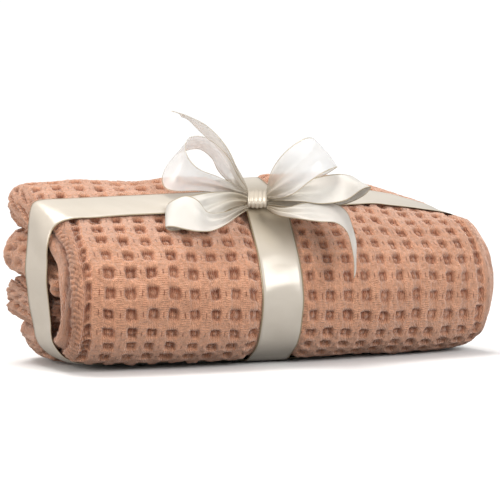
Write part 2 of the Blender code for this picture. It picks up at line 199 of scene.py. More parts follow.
def smooth_step(low, high, value):
    """0 at low and 1 at high, whichever is larger, and 3s2 - 2s3 of the way between."""
    s = np.clip((value - low) / (high - low), 0, 1)
    return s * s * (3 - 2 * s)


# Where the deep fold down the front lies along the strip, and its outermost columns of pits
FRONT_FROM, FRONT_TO = 212, 440
FIRST_COLUMN, LAST_COLUMN = -1, 20


def waffle(u, s, x):
    """The weave's cells: column and row numbers for each point, the pit's painted shade (0 to 1)
    and the relief in mm. A pit is a box with round corners round the middle of its cell, with
    a hump of crossing floats in it; its painted shade is least on the hump and darkest under its
    upper edge, a painted shadow. Down the front, the outermost pits nearly join into a groove, the
    cloth past the last of them is plain, and a shallow valley with a little painted shade runs between
    the pits of a column."""
    bulge = 4.2 * (1 - ((u - 20) / 175) ** 2)
    lean = 14 * smooth_step(345, 285, s) * smooth_step(20, 110, u) * smooth_step(195, 240, s)
    a = (u - bulge + lean + 154.3) / CELL_WIDE
    b = np.interp(s - 11 * (np.clip(x, -200, 215) + 130) / 245, CELL_ROWS[:, 0], CELL_ROWS[:, 1])
    a = a + 0.07 * ripple(u, s, 70, 3) + 0.035 * ripple(u, s, 21, 4)
    b = b + 0.07 * ripple(u, s, 80, 5) + 0.035 * ripple(u, s, 19, 6)
    i, j = np.round(a), np.round(b)
    chance = [None] + [cell_chance(i, j, seed) for seed in range(1, 10)]
    in_front = smooth_step(FRONT_FROM, 240, s) * smooth_step(FRONT_TO, 420, s)
    edge = ((i == FIRST_COLUMN) | (i == LAST_COLUMN)) * in_front
    plain = 0.8 * (i > LAST_COLUMN) * in_front

    # The pit: how far the point lies past the box, in cells, with a ragged edge
    p, q = a - i - 0.03 * chance[1], b - j - 0.03 * chance[2]
    wide = 0.245 + 0.03 * chance[3] - 0.05 * edge
    tall = 0.265 + 0.035 * chance[4] + 0.16 * edge
    corner = 0.12
    past_side, past_end = np.abs(p) - wide + corner, np.abs(q) - tall + corner
    over = np.hypot(np.maximum(past_side, 0), np.maximum(past_end, 0)) - corner
    pit = smooth_step(0.06, -0.07, over + 0.018 * ripple(u, s, 6.5, 8))
    hump_p, hump_q = (p - 0.05 * chance[6]) / 0.11, (q - 0.03 - 0.06 * chance[7]) / 0.13
    hump = np.exp(-(hump_p**2) - hump_q**2)

    relief = -PIT_DEEP * (1 + 0.2 * chance[5]) * pit * (1 - (0.5 + 0.2 * chance[8]) * hump)
    crown = np.cos(np.pi * np.clip(2 * p, -1, 1)) * np.cos(np.pi * np.clip(2 * q, -1, 1))
    relief = relief - 0.35 * np.maximum(crown, 0) * (1 - pit)
    relief = relief + (0.26 * ripple(u, s, 9, 9) + 0.2 * ripple(u, s, 4.6, 10)) * (1 - 0.4 * pit)
    pit = pit * (1 - plain)
    valley = smooth_step(0.3, 0.16, np.abs(p)) * (1 - pit)
    valley = valley * (0.4 + 0.6 * smooth_step(20, 150, u)) * in_front
    relief = relief * (1 - plain) - 0.8 * valley
    # Painted shade: the pits, darkest under their upper edge as a painted shadow, and the valleys.
    painted_edge_shadow = smooth_step(0.05, -0.2, q)
    shade = pit * (0.72 - 0.5 * hump + 0.28 * painted_edge_shadow + 0.12 * chance[9]) + 0.22 * valley
    return a, b, shade, relief


def grid_quads(rows, columns, closed):
    """Quads over a grid whose columns join on themselves, and whose rows do if closed."""
    first = np.arange(rows if closed else rows - 1)[:, None] * columns
    here = np.arange(columns)[None, :]
    there = (here + 1) % columns
    beyond = (first + columns) % (rows * columns)
    return np.stack([first + here, beyond + here, beyond + there, first + there], -1).reshape(-1, 4)


def oriented(cap, quads, columns):
    """A cap of triangles over the first ring, turned to agree with the quads beside it."""
    beside = {(int(q[k]), int(q[(k + 1) % 4])) for q in quads[:columns] for k in range(4)}
    own = {(int(t[k]), int(t[(k + 1) % 3])) for t in cap for k in range(3)}
    return cap[:, ::-1] if beside & own else cap


def add_piece(name, points, faces, uv, material, shade=None):
    """A mesh from points in mm (already placed), quads and a few triangles, and a UV for each
    point. The shade, 0 to 1, is painted shade: how much darker each point is. It rides on the one
    body."""
    faces = [np.asarray(f, np.int32) for f in faces if len(f)]
    corners = np.concatenate([f.ravel() for f in faces])
    sizes = np.concatenate([np.full(len(f), f.shape[1]) for f in faces])
    mesh = bpy.data.meshes.new(name)
    mesh.vertices.add(len(points))
    mesh.vertices.foreach_set("co", (np.asarray(points) / 1000).astype(np.float32).ravel())
    mesh.loops.add(len(corners))
    mesh.loops.foreach_set("vertex_index", corners)
    mesh.polygons.add(len(sizes))
    starts = np.concatenate([[0], np.cumsum(sizes)[:-1]])
    mesh.polygons.foreach_set("loop_start", starts.astype(np.int32))
    mesh.polygons.foreach_set("loop_total", sizes.astype(np.int32))
    mesh.polygons.foreach_set("use_smooth", np.ones(len(sizes), bool))
    layer = mesh.uv_layers.new(name="cloth")
    layer.data.foreach_set("uv", np.asarray(uv, np.float32)[corners].ravel())
    if shade is not None:
        darkness = mesh.attributes.new("shade", "FLOAT", "POINT")
        darkness.data.foreach_set("value", shade.astype(np.float32))
    mesh.update(calc_edges=True)
    mesh.validate()
    mesh.materials.append(material)
    obj = bpy.data.objects.new(name, mesh)
    bpy.context.scene.collection.objects.link(obj)
    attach(obj, "root")
    return obj


def place_strip(row, share, run, reach, sign):
    """Points of the strip at rows (down) and outline points (across). share is the distance
    from the middle line in half thicknesses, run goes from the cut to the nose's root, and
    reach goes on over the nose, in nose depths."""
    value, rate = strip_at(row)
    heading = rate[:, :2] / np.linalg.norm(rate[:, :2], axis=1)[:, None]
    half = value[:, 2:3] / 2
    root = value[:, 3:4] + NOSE if sign < 0 else value[:, 4:5] - NOSE
    cut = CROSS_X + 0.1 * sign  # the halves meet under the crosswise ribbon
    x = cut + run * (root - cut) + sign * NOSE * reach
    y = value[:, 0:1] + half * share * heading[:, 1:2]
    z = value[:, 1:2] - half * share * heading[:, 0:1]
    return np.stack([x, y, z], -1), root, half


def skin_length(share):
    """Fine rows along the strip and how far its face at this share has run at each."""
    row = np.linspace(0, len(STRIP) - 1, 5000)
    value, rate = strip_at(row)
    heading = rate[:, :2] / np.linalg.norm(rate[:, :2], axis=1)[:, None]
    out = np.column_stack([heading[:, 1], -heading[:, 0]])
    return row, walked(value[:, :2] + out * value[:, 2:3] / 2 * share)


def ply_outline(outer, inner, run_count, nose_count, plain_count):
    """The closed outline of one folded ply in one half of the bundle: out over the top, round
    the nose, back below, and the same way back on the inside. Columns: run, reach, share,
    angle round the nose, weave (1 on the outside)."""
    angle = np.linspace(np.pi / 2, -np.pi / 2, nose_count)
    rows = [(r, 0, outer, np.pi / 2, 1) for r in np.linspace(0, 1, run_count, endpoint=False)]
    rows += [(1, outer * np.cos(a), outer * np.sin(a), a, 1) for a in angle]
    fade = np.linspace(0, 1, plain_count)[1:] ** 1.6
    rows += [(1 - f, 0, -outer, -np.pi / 2, max(0, 1 - 9 * f)) for f in fade]
    rows += [(1 - f, 0, -inner, -np.pi / 2, 0) for f in fade[::-1]]
    angle = np.linspace(-np.pi / 2, np.pi / 2, max(5, nose_count // 3))
    rows += [(1, inner * np.cos(a), inner * np.sin(a), a, 0) for a in angle]
    rows += [(1 - f, 0, inner, np.pi / 2, 0) for f in fade]
    return np.array(rows)


CORD_RIB = 4.6  # from rib to rib along the corded edge


def corded_end(u, s, turned, pit, relief):
    """The left end of the deep front fold, by the angle turned round its nose: a corded edge,
    a crease, and then the plain inner ply, with one tuck in it. Returns the new painted shade,
    the relief, and how far the plain ply and the ends of the inner levels bulge out."""
    front = smooth_step(FRONT_FROM, FRONT_FROM + 20, s) * smooth_step(FRONT_TO - 4, FRONT_TO - 20, s)
    cord = smooth_step(0.3, 0.45, turned) * smooth_step(1.1, 0.95, turned) * front
    ribs = 0.8 * np.sin(2 * np.pi * s / CORD_RIB + 1.6 * turned + 2.2 * ripple(u, s, 24, 13))
    plain = smooth_step(1.0, 1.15, turned) * front
    crease = np.exp(-(((turned - 1.14 - 0.06 * ripple(u, s, 40, 17)) / 0.1) ** 2)) * front
    tuck = plain * np.exp(-(((s - 306 - 16 * (turned - 1.5)) / 5) ** 2))
    twist = ribs * (0.8 + 0.5 * ripple(u, s, 13, 15)) + 0.5 * ripple(u, s, 5, 14)
    relief = relief * (1 - 0.8 * cord) * (1 - 0.85 * plain) - 1.6 * crease - 2.5 * tuck
    relief = relief + cord * (0.5 + twist) + plain * 0.7 * ripple(u, s, 22, 16)
    # Painted shade in the grooves between the ribs, in the crease and the tuck, and over the plain
    # ply.
    pit = pit * (1 - 0.75 * cord) * (1 - 0.8 * plain) + cord * np.maximum(-0.75 * ribs, 0)
    pit = np.maximum(pit, np.maximum(0.8 * crease, 0.95 * tuck) + 0.22 * plain)
    inner_level = np.maximum(smooth_step(95, 75, s), smooth_step(650, 670, s))
    bulge = 3.8 * smooth_step(1.15, 1.7, turned) * front
    return pit, relief, bulge + 3.5 * inner_level * smooth_step(0.4, 1.2, turned)


def ply_half(sign, outline, row, woven):
    """One ply in one half: placed, shaped, and given its weave along its own normals. u and s
    are the distances across and along its outside, turned is the angle round the nose."""
    run, reach, share, angle, weave = outline.T
    points, root, half = place_strip(row, share, run, reach, sign)
    smooth = shape_bundle(points)
    fine, outside = skin_length(1)
    inside = skin_length(-1)[1]
    out_s, in_s = np.interp(row, fine, outside)[:, None], np.interp(row, fine, inside)[:, None]
    s = in_s + (out_s - in_s) * (1 + share) / 2
    bend = np.sqrt((NOSE**2 + half**2) / 2)
    turned = np.where(reach > 0, np.pi / 2 - angle, np.where(share < 0, np.pi, 0))
    squeezed = turned + (0.8 * np.maximum(turned - 0.5, 0) if sign < 0 else 0)
    u = root + sign * bend * squeezed
    below = u + sign * (1 - run) * np.abs(root - CROSS_X)
    u = np.where(run < 1, np.where(share > 0, points[..., 0], below), u)
    along = np.roll(smooth, -1, 1) - np.roll(smooth, 1, 1)
    down = np.gradient(smooth, axis=0)
    normal = np.cross(down, along) * sign
    normal /= np.maximum(np.linalg.norm(normal, axis=-1), 1e-9)[..., None]
    a, b, pit, relief = waffle(u, s, points[..., 0])
    bulge = 0
    if sign < 0:
        pit, relief, bulge = corded_end(u, s, turned, pit, relief)
    swell = 0.9 * ripple(u, s, 85, 11) + 0.5 * ripple(u, s, 38, 12) + bulge
    weave = weave * smooth_step(0.0, 0.012, run)
    lift = np.where(weave > 0, weave * (relief + swell), 0) if woven else 0 * relief
    shaped = smooth + normal * lift[..., None]
    shaped[..., 2] = np.maximum(shaped[..., 2], 0)
    # The last value is the painted shade, only where the weave is.
    return shaped, np.stack([a, b], -1), pit * weave


def hex_linear(code):
    """An sRGB hex colour as linear RGB: c/12.92 below 0.04045, else ((c + 0.055)/1.055)^2.4."""
    c = np.array([int(code[i:i + 2], 16) for i in (1, 3, 5)]) / 255
    c = np.where(c <= 0.04045, c / 12.92, ((c + 0.055) / 1.055) ** 2.4)
    return (*map(float, c), 1.0)


def new_material(name):
    """A material with its node tree, its Principled shader, and a function that adds a node:
    kind, settings by attribute, inputs by name or number, as values or as (node, output)."""
    material = bpy.data.materials.new(name)
    material.use_nodes = True
    tree = material.node_tree

    def node(kind, inputs=(), **settings):
        made = tree.nodes.new(kind)
        for key, value in settings.items():
            setattr(made, key, value)
        for key, value in dict(inputs).items():
            if isinstance(value, tuple) and isinstance(value[0], bpy.types.Node):
                tree.links.new(value[0].outputs[value[1]], made.inputs[key])
            else:
                made.inputs[key].default_value = value
        return made

    shader = tree.nodes["Principled BSDF"]
    return material, tree, shader, node


# Brushed cotton yarn, dyed terracotta pink: matt, with a faint nap that catches the light. The
# colour is darkened by painted shade in the pits, the valleys, the slits and the folds' creases.
# The tone drifts over 22 mm, the nap clumps over 3 mm, and fibres are drawn 1.3 mm apart, because real
# ones are too fine to show.
cotton, tree, shader, node = new_material("cotton_waffle")
cells = node("ShaderNodeUVMap", uv_map="cloth")
pit = node("ShaderNodeAttribute", attribute_name="shade")
place = node("ShaderNodeTexCoord")
mottle, clumps, fibres = (
    node("ShaderNodeTexNoise", {
        "Vector": (place, "Object"), "Scale": scale, "Detail": detail, "Roughness": rough})
    for scale, detail, rough in ((45, 5, 0.6), (330, 2, 0.6), (750, 3, 0.7)))
ridge_colour = node("ShaderNodeMix", {"Factor": (mottle, "Fac")}, data_type="RGBA")
ridge_colour.inputs[6].default_value = hex_linear("#D29373")
ridge_colour.inputs[7].default_value = hex_linear("#E8AF8D")

# The yarns: ribs that run down the upright ridges and across the level ones, 1.5 mm apart and
# never quite straight. One short slit halfway along each upright ridge is painted dark: painted shade.
YARNS_A_CELL = 12
part = node("ShaderNodeSeparateXYZ", {"Vector": (cells, "UV")})
ribs, from_pit = [], []
for axis in ("X", "Y"):
    turns = node(
        "ShaderNodeMath", {0: (part, axis), 1: 2 * math.pi * YARNS_A_CELL}, operation="MULTIPLY")
    bent = node(
        "ShaderNodeMath", {0: (clumps, "Fac"), 1: 7.0, 2: (turns, "Value")}, operation="MULTIPLY_ADD")
    ribs.append(node("ShaderNodeMath", {0: (bent, "Value")}, operation="SINE"))
    from_pit.append(node("ShaderNodeMath", {0: (part, axis), 1: 0.5}, operation="PINGPONG"))
upright, slit_wide, slit_tall = (
    node("ShaderNodeMapRange", {"Value": (from_pit[way], "Value"), "From Min": start, "From Max": end})
    for way, start, end in ((0, 0.24, 0.3), (0, 0.455, 0.49), (1, 0.17, 0.1)))
ribbed = node("ShaderNodeMix", {
    "Factor": (upright, "Result"), "A": (ribs[0], "Value"), "B": (ribs[1], "Value")})
slit = node(
    "ShaderNodeMath", {0: (slit_wide, "Result"), 1: (slit_tall, "Result")}, operation="MULTIPLY")
dark = node("ShaderNodeMath", {0: (slit, "Value"), 1: (pit, "Fac")}, operation="MAXIMUM")

# Painted shade: the colour goes to dark brown by the shade attribute and the slits.
depth = node("ShaderNodeMapRange", {"Value": (dark, "Value"), "From Min": 0.05, "From Max": 1.0})
cloth_colour = node("ShaderNodeMix", {"Factor": (depth, "Result")}, data_type="RGBA")
tree.links.new(ridge_colour.outputs[2], cloth_colour.inputs[6])
cloth_colour.inputs[7].default_value = hex_linear("#985C42")
clumped, specks = (
    node("ShaderNodeMapRange", {
        "Value": (noise, "Fac"), "From Min": 0.3, "From Max": 0.7, "To Min": darkest, "To Max": 1.14})
    for noise, darkest in ((clumps, 0.82), (fibres, 0.8)))
both = node("ShaderNodeMath", {0: (clumped, "Result"), 1: (specks, "Result")}, operation="MULTIPLY")
tinted = node("ShaderNodeMix", {"Factor": 1.0}, data_type="RGBA", blend_type="MULTIPLY")
tree.links.new(cloth_colour.outputs[2], tinted.inputs[6])
tree.links.new(both.outputs["Value"], tinted.inputs[7])
tree.links.new(tinted.outputs[2], shader.inputs["Base Color"])

fuzz = node(
    "ShaderNodeMath", {0: (fibres, "Fac"), 1: 3.0, 2: (ribbed, "Result")}, operation="MULTIPLY_ADD")
nap = node(
    "ShaderNodeMath", {0: (clumps, "Fac"), 1: 5.0, 2: (fuzz, "Value")}, operation="MULTIPLY_ADD")
bump = node("ShaderNodeBump", {"Height": (nap, "Value"), "Strength": 0.7, "Distance": 0.0006})
tree.links.new(bump.outputs["Normal"], shader.inputs["Normal"])
shader.inputs["Roughness"].default_value = 0.95
shader.inputs["Sheen Weight"].default_value = 1.0
shader.inputs["Sheen Roughness"].default_value = 0.45
shader.inputs["Sheen Tint"].default_value = hex_linear("#FBE3D6")
shader.inputs["Specular IOR Level"].default_value = 0.2

# The tables' zero lies a little off the middle of the blanket's box in the frame
cad_low, cad_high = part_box("blanket")
placed = np.array([
    (cad_low[0] + cad_high[0]) * 500 - 0.5,
    (cad_low[1] + cad_high[1]) * 500 - 0.15,
    0,
])

# The outer ply carries the weave. The inner one shows only at its edges, so it is plain.
fine_row, fine_s = skin_length(1)
steps = np.interp(fine_s[1:], STEPS[:, 0], STEPS[:, 1])
count = np.concatenate([[0], np.cumsum(np.diff(fine_s) / steps)])
woven_rows = np.interp(np.linspace(0, count[-1], int(count[-1])), count, fine_row)
plain_rows = np.linspace(0, len(STRIP) - 1, 90)
cloth_face = []
for side, sign, columns in (("left", -1, 146), ("right", 1, 150)):  # 1.3 mm from column to column
    stack, faces, uvs, pits, first = [], [], [], [], 0
    for outer, inner, rows, runs, noses, woven in (
        (1.0, 1 - PLY, woven_rows, columns, 34, True),
        (0.03 + PLY, 0.03, plain_rows, 12, 9, False),
    ):
        outline = ply_outline(outer, inner, runs, noses, 9)
        shaped, uv, pit_share = ply_half(sign, outline, rows, woven)
        if woven:
            cloth_face.append(shaped[:, :runs + noses].reshape(-1, 3))
        quads = grid_quads(len(rows), len(outline), False)
        flat = [(r + 0.2 * c, s, 0) for r, c, s in outline[:, :3]]
        cap = np.array(tessellate_polygon([flat]))
        end = (len(rows) - 1) * len(outline)
        quads = quads[:, ::-1] if sign < 0 else quads
        lid = oriented(cap, quads, len(outline))
        faces += [quads + first, lid + first, lid[:, ::-1] + first + end]
        stack.append(shaped.reshape(-1, 3))
        uvs.append(uv.reshape(-1, 2))
        pits.append(pit_share.ravel() * woven)
        first += shaped.shape[0] * shaped.shape[1]
    half = add_piece(
        "blanket_" + side, np.vstack(stack) + placed, faces, np.vstack(uvs), cotton,
        np.concatenate(pits))
    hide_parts("blanket")
cloth_face = np.vstack(cloth_face)

# ---- Ribbon bands --------------------------------------------------------------------------
# Champagne satin ribbon, 38 mm wide, with woven edges. One band runs round the bundle's length
# and one round its width; both are drawn taut, so they bridge the hollows between folds.
SATIN_THICK, SATIN_GAP = 0.4, 0.5


def taut_outline(flat):
    """The convex outline round points in a plane, counter-clockwise, by Andrew's chains."""
    flat = flat[np.lexsort((flat[:, 1], flat[:, 0]))]
    halves = []
    for ordered in (flat, flat[::-1]):
        chain = []
        for x, y in ordered:
            while len(chain) > 1 and (
                (chain[-1][0] - chain[-2][0]) * (y - chain[-2][1])
                - (chain[-1][1] - chain[-2][1]) * (x - chain[-2][0])
            ) <= 0:
                chain.pop()
            chain.append((x, y))
        halves += chain[:-1]
    return np.array(halves)


def reach_of(outline, centre, ways):
    """How far each ray from the centre runs to a convex outline: the nearest of its sides."""
    side = np.roll(outline, -1, axis=0) - outline
    normal = np.column_stack([side[:, 1], -side[:, 0]])
    normal /= np.maximum(np.linalg.norm(normal, axis=1), 1e-9)[:, None]
    depth = np.sum(normal * (outline - centre), axis=1)
    facing = ways @ normal.T
    return np.where(facing > 1e-6, depth / np.maximum(facing, 1e-6), np.inf).min(axis=1)


def eased(values, times):
    """Values round a ring, each moved to the mean of itself and its neighbours, several times."""
    for _ in range(times):
        values = (np.roll(values, 1, -1) + 2 * values + np.roll(values, -1, -1)) / 4
    return values


def band_rings(under, steps, lines=11):
    """A taut ribbon round points given as (along, z, across): for each of the lines across,
    the convex outline of the points near it, met by rays. The reach is eased round and across,
    then lifted wherever that took it inside. Returns (steps, lines) of along and z, the way
    outward, the lines across, and the distance walked."""
    across = np.linspace(-RIBBON_WIDE / 2, RIBBON_WIDE / 2, lines)
    cuts = []
    for line in across:
        near = under[np.abs(under[:, 2] - np.clip(line, -17.5, 17.5)) < 2.4]
        cuts.append(taut_outline(near[:, :2]))
    middle = cuts[lines // 2]
    centre = (middle.min(axis=0) + middle.max(axis=0)) / 2
    loop = np.vstack([middle, middle[:1]])
    length = walked(loop)
    even = np.linspace(0, length[-1], steps, endpoint=False)
    ways = np.column_stack([np.interp(even, length, loop[:, i]) for i in (0, 1)]) - centre
    ways /= np.linalg.norm(ways, axis=1)[:, None]
    least = np.array([reach_of(cut, centre, ways) for cut in cuts])
    reach = eased(least, 6)
    for _ in range(2):
        reach[1:-1] = (reach[:-2] + 2 * reach[1:-1] + reach[2:]) / 4
    lift = np.maximum(least - reach, 0)
    for _ in range(4):
        lift = np.maximum(lift, np.maximum(np.roll(lift, 1, 1), np.roll(lift, -1, 1)) * 0.93)
        lift[1:-1] = np.maximum(lift[1:-1], 0.9 * np.maximum(lift[:-2], lift[2:]))
    reach = reach + lift
    rings = centre + ways[:, None, :] * (reach.T + SATIN_GAP)[:, :, None]
    outward = ways[:, None, :] * np.ones((1, lines, 1))
    return rings, outward, across, even


def ribbon_sheet(name, top, outward, across, along, closed, material, shade=None):
    """A ribbon as a closed thin sheet: its face, and the same face one thickness out."""
    count, lines = top.shape[:2]
    grid = np.concatenate([top, (top + outward * SATIN_THICK)[:, ::-1]], axis=1)
    there_and_back = np.concatenate([across, across[::-1]])
    uv = np.stack(np.broadcast_arrays(there_and_back[None], along[:, None]), -1)
    faces = [grid_quads(count, 2 * lines, closed)]
    if not closed:
        faces[0] = faces[0][:, ::-1]
        strip = np.arange(lines - 1)
        lid = np.column_stack([strip, strip + 1, 2 * lines - 2 - strip, 2 * lines - 1 - strip])
        faces += [lid[:, ::-1], lid + (count - 1) * 2 * lines]
    if shade is not None:
        shade = np.repeat(shade, 2 * lines)
    return add_piece(
        name, grid.reshape(-1, 3) + placed, faces, uv.reshape(-1, 2), material, shade)


# Polyester satin: long floats on the face give a soft broad gloss, stretched across the ribbon.
def satin_material(name, light, dark, thin=0.0, alpha=1.0, rough=0.26):
    """Satin with a tone that drifts over 20 mm, cross ribs 1 mm apart, coarse enough to show,
    and a woven edge 1.2 mm wide. Where its shade attribute says, it is darker: painted shade."""
    material, tree, shader, node = new_material(name)
    place = node("ShaderNodeUVMap", uv_map="cloth")
    tone = node("ShaderNodeTexNoise", {"Vector": (place, "UV"), "Scale": 0.05, "Detail": 2})
    colour = node("ShaderNodeMix", {"Factor": (tone, "Fac")}, data_type="RGBA")
    colour.inputs[6].default_value = hex_linear(light)
    colour.inputs[7].default_value = hex_linear(dark)
    parts = node("ShaderNodeSeparateXYZ", {"Vector": (place, "UV")})
    side = node("ShaderNodeMath", {0: (parts, "X")}, operation="ABSOLUTE")
    woven = RIBBON_WIDE / 2 - 1.2
    edge = node("ShaderNodeMapRange", {
        "Value": (side, "Value"), "From Min": woven - 0.2, "From Max": woven + 0.2})
    edged = node(
        "ShaderNodeMix", {"Factor": (edge, "Result")}, data_type="RGBA", blend_type="MULTIPLY")
    # Painted shade: the colour goes towards dark beige by the shade attribute, near the knot and under
    # the bow.
    painted_shade_node = node("ShaderNodeAttribute", attribute_name="shade")
    deep = node("ShaderNodeMix", {"Factor": (painted_shade_node, "Fac")}, data_type="RGBA")
    tree.links.new(colour.outputs[2], deep.inputs[6])
    deep.inputs[7].default_value = hex_linear("#A8977B")
    tree.links.new(deep.outputs[2], edged.inputs[6])
    edged.inputs[7].default_value = hex_linear("#C9BDA6")
    tree.links.new(edged.outputs[2], shader.inputs["Base Color"])
    rib = node(
        "ShaderNodeTexWave", {"Vector": (place, "UV"), "Scale": 0.35, "Distortion": 0.6},
        bands_direction="Y")
    bump = node("ShaderNodeBump", {"Height": (rib, "Fac"), "Strength": 0.08, "Distance": 0.0002})
    tree.links.new(bump.outputs["Normal"], shader.inputs["Normal"])
    shader.inputs["Roughness"].default_value = rough
    shader.inputs["Metallic"].default_value = 0.1
    shader.inputs["Specular IOR Level"].default_value = 0.6
    shader.inputs["Anisotropic"].default_value = 0.5
    shader.inputs["Sheen Weight"].default_value = 0.02
    shader.inputs["Subsurface Weight"].default_value = thin  # light comes through a single layer
    shader.inputs["Subsurface Radius"].default_value = (1, 0.97, 0.92)
    shader.inputs["Subsurface Scale"].default_value = 0.002
    shader.inputs["Alpha"].default_value = alpha
    return material


satin = satin_material("satin_ribbon", "#D0C8BC", "#C5BCAE")

straight = cloth_face.copy()
straight[:, 1] -= drift(straight[:, 0]) + LONG_Y
rings, outward, across, walk = band_rings(straight[:, [0, 2, 1]], 420)
grid = np.stack([rings[..., 0], across + LONG_Y + drift(rings[..., 0]), rings[..., 1]], -1)
push = np.stack([outward[..., 0], 0 * outward[..., 0], outward[..., 1]], -1)
long_band = ribbon_sheet("ribbon_long_band", grid, push, across, walk, True, satin)
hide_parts("ribbon_long")
long_top = (grid + push * SATIN_THICK).reshape(-1, 3)

under = np.vstack([cloth_face, long_top])
under = np.column_stack([under[:, 1], under[:, 2], under[:, 0] - CROSS_X])
rings, outward, across, walk = band_rings(under, 300)
grid = np.stack([across + CROSS_X + 0 * rings[..., 0], rings[..., 0], rings[..., 1]], -1)
push = np.stack([0 * outward[..., 0], outward[..., 0], outward[..., 1]], -1)
low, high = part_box("bow_knot")
knot = np.array([(low[i] + high[i]) * 500 for i in range(3)])
from_knot = np.linalg.norm(grid[:, len(across) // 2] + placed - knot, axis=1)
# Painted shadow of the bow on the band, strongest at the knot and fading over 40 mm.
painted_bow_shadow = 0.85 * np.exp(-((from_knot / 40) ** 2))  # the bow sits on it here and shades it
cross_band = ribbon_sheet(
    "ribbon_cross_band", grid[:, ::-1], push[:, ::-1], across, walk, True, satin, painted_bow_shadow)
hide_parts("ribbon_cross")

# ---- Bow -----------------------------------------------------------------------------------
# The ends of the same ribbon tied in a bow: four loops and two cut ends leave a tight knot,
# where the ribbon is gathered into pleats that open out along each loop.
BOW_TURN, TOP_SLOPE = math.radians(20), math.radians(26)
KNOT_SIZE = (16.0, 9.0, 24.0)
PLEATS, PLEAT_DEEP = 2, 2.1

# One row for each line across the ribbon, from the knot outwards.
# Columns: right, up, front of one edge, then right, up, front of the other edge
BOW = {
    "bow_loop_upper_left": (
        (-8.6, 8, -1, -8.6, 1, -4), (-17, 21, 2, -22, 11, -13), (-24, 34, 4, -34, 22, -25),
        (-33, 45, 5, -40, 34, -29), (-45, 53, 4, -52, 42, -30), (-57, 53, 3, -70, 37, -25),
        (-61, 45, 5, -80, 24, -14), (-58, 35, 7, -81, 12, -4), (-49, 26, 7, -72, 7, 2),
        (-34, 20, 6, -48, 7, 4), (-19, 13, 5, -25, 4, 4), (-8.6, 7, 2, -8.6, 2, 3),
    ),
    "bow_loop_lower_left": (
        (-8.6, 3, 6, -8.6, -4, 7), (-20, 7, 8, -20, -6, 17), (-34, 7.5, 9, -34, -12, 30),
        (-48, 5.5, 12, -48, -18.5, 39), (-63, 1.5, 15, -63, -23.5, 44.5),
        (-73, -2.5, 20, -73, -24, 46.5), (-76, -4, 24.5, -76, -21.5, 47),
        (-71, 0, 24, -70, -21, 49), (-60, 4, 22.5, -58, -23.5, 51.5),
        (-50, 0, 28, -47, -25, 52), (-42, -9.5, 33.5, -37, -24.5, 48),
        (-30, -10.5, 31.5, -26, -20, 41), (-18, -7.5, 21.5, -16, -13.5, 27),
        (-8.6, -5, 10, -8.6, -9, 13),
    ),
    "bow_loop_upper_right": (
        (8.6, 8, 3, 8.6, 1, 5), (12, 23, 6, 19, 1, 12), (19, 35, 6, 31, 5, 17),
        (29, 45, 4, 44, 15, 18), (41, 52, 0, 57, 23, 12), (49, 51, -8, 68, 27, -2),
        (49, 44, -18, 67, 25, -16), (40, 33, -24, 56, 18, -23), (26, 21, -20, 36, 9, -22),
        (14, 12, -11, 19, 5, -14), (8.6, 8, -5, 8.6, 3, -7),
    ),
    "bow_loop_lower_right": (
        (8.6, 6, -1, 8.6, -0.5, 2), (22, 10, -4, 22, 0, 11), (38, 15, -8, 38, -0.5, 16.5),
        (54, 19, -10, 56, -3, 19), (69, 21, -9, 75, 0, 22), (79, 20, -7, 88, 9, 24.5),
        (85.5, 16.5, -8.5, 96, 11.5, 26), (82, 12, -11, 91.5, 5, 23), (75, 9.5, -16, 82, -1, 15),
        (66, 9, -21, 70, -5.5, 6.5), (49, 7, -19, 52, -8, 7.5), (34, 4, -13, 35, -8, 9),
        (20, 1, -5, 20, -7.5, 8.5), (8.6, -2.5, 1, 8.6, -5.5, 6),
    ),
    "bow_tail_left": (
        (-8.6, 6, -6, -8.6, 1, -8), (-14, 21, -12, -16, 12, -26), (-22, 38, -14, -25, 31, -42),
        (-31, 51, -14, -36, 44, -46), (-44, 63, -14, -50, 57, -46), (-58, 70, -14, -60, 67, -42),
        (-74, 75, -16, -66, 70, -34),
    ),
    "bow_tail_right": (
        (8.6, -6, 9.5, 8.6, -8, 12), (20, -7, 16, 18, -12, 27), (36, -3, 17, 36, -15, 38),
        (52, -1, 13, 52, -17, 42), (66, -3, 10, 66, -18, 41), (76, -10, 9, 75, -25, 40),
        (81, -22, 12, 79, -37, 42), (84, -36, 25, 81, -50, 46), (83, -52, 37, 81, -64, 48),
    ),
}


def in_bow(points):
    """Points in the bow's own frame (right, up, front), turned about Z and put at the knot."""
    right, up, front = points[..., 0], points[..., 1], points[..., 2]
    x = knot[0] + right * math.cos(BOW_TURN) - front * math.sin(BOW_TURN)
    y = knot[1] - right * math.sin(BOW_TURN) - front * math.cos(BOW_TURN)
    return np.stack([x, y, knot[2] + up], -1) - placed


def curved_rows(rows, steps):
    """A Catmull-Rom curve through rows of any width, the same number of steps between all."""
    rows = np.array(rows, float)
    slope = np.gradient(rows, axis=0)
    t = np.linspace(0, len(rows) - 1, (len(rows) - 1) * steps + 1)
    i = np.minimum(t.astype(int), len(rows) - 2)
    f = (t - i)[:, None]
    value = (2 * f**3 - 3 * f**2 + 1) * rows[i] + (f**3 - 2 * f**2 + f) * slope[i]
    return value + (3 * f**2 - 2 * f**3) * rows[i + 1] + (f**3 - f**2) * slope[i + 1]


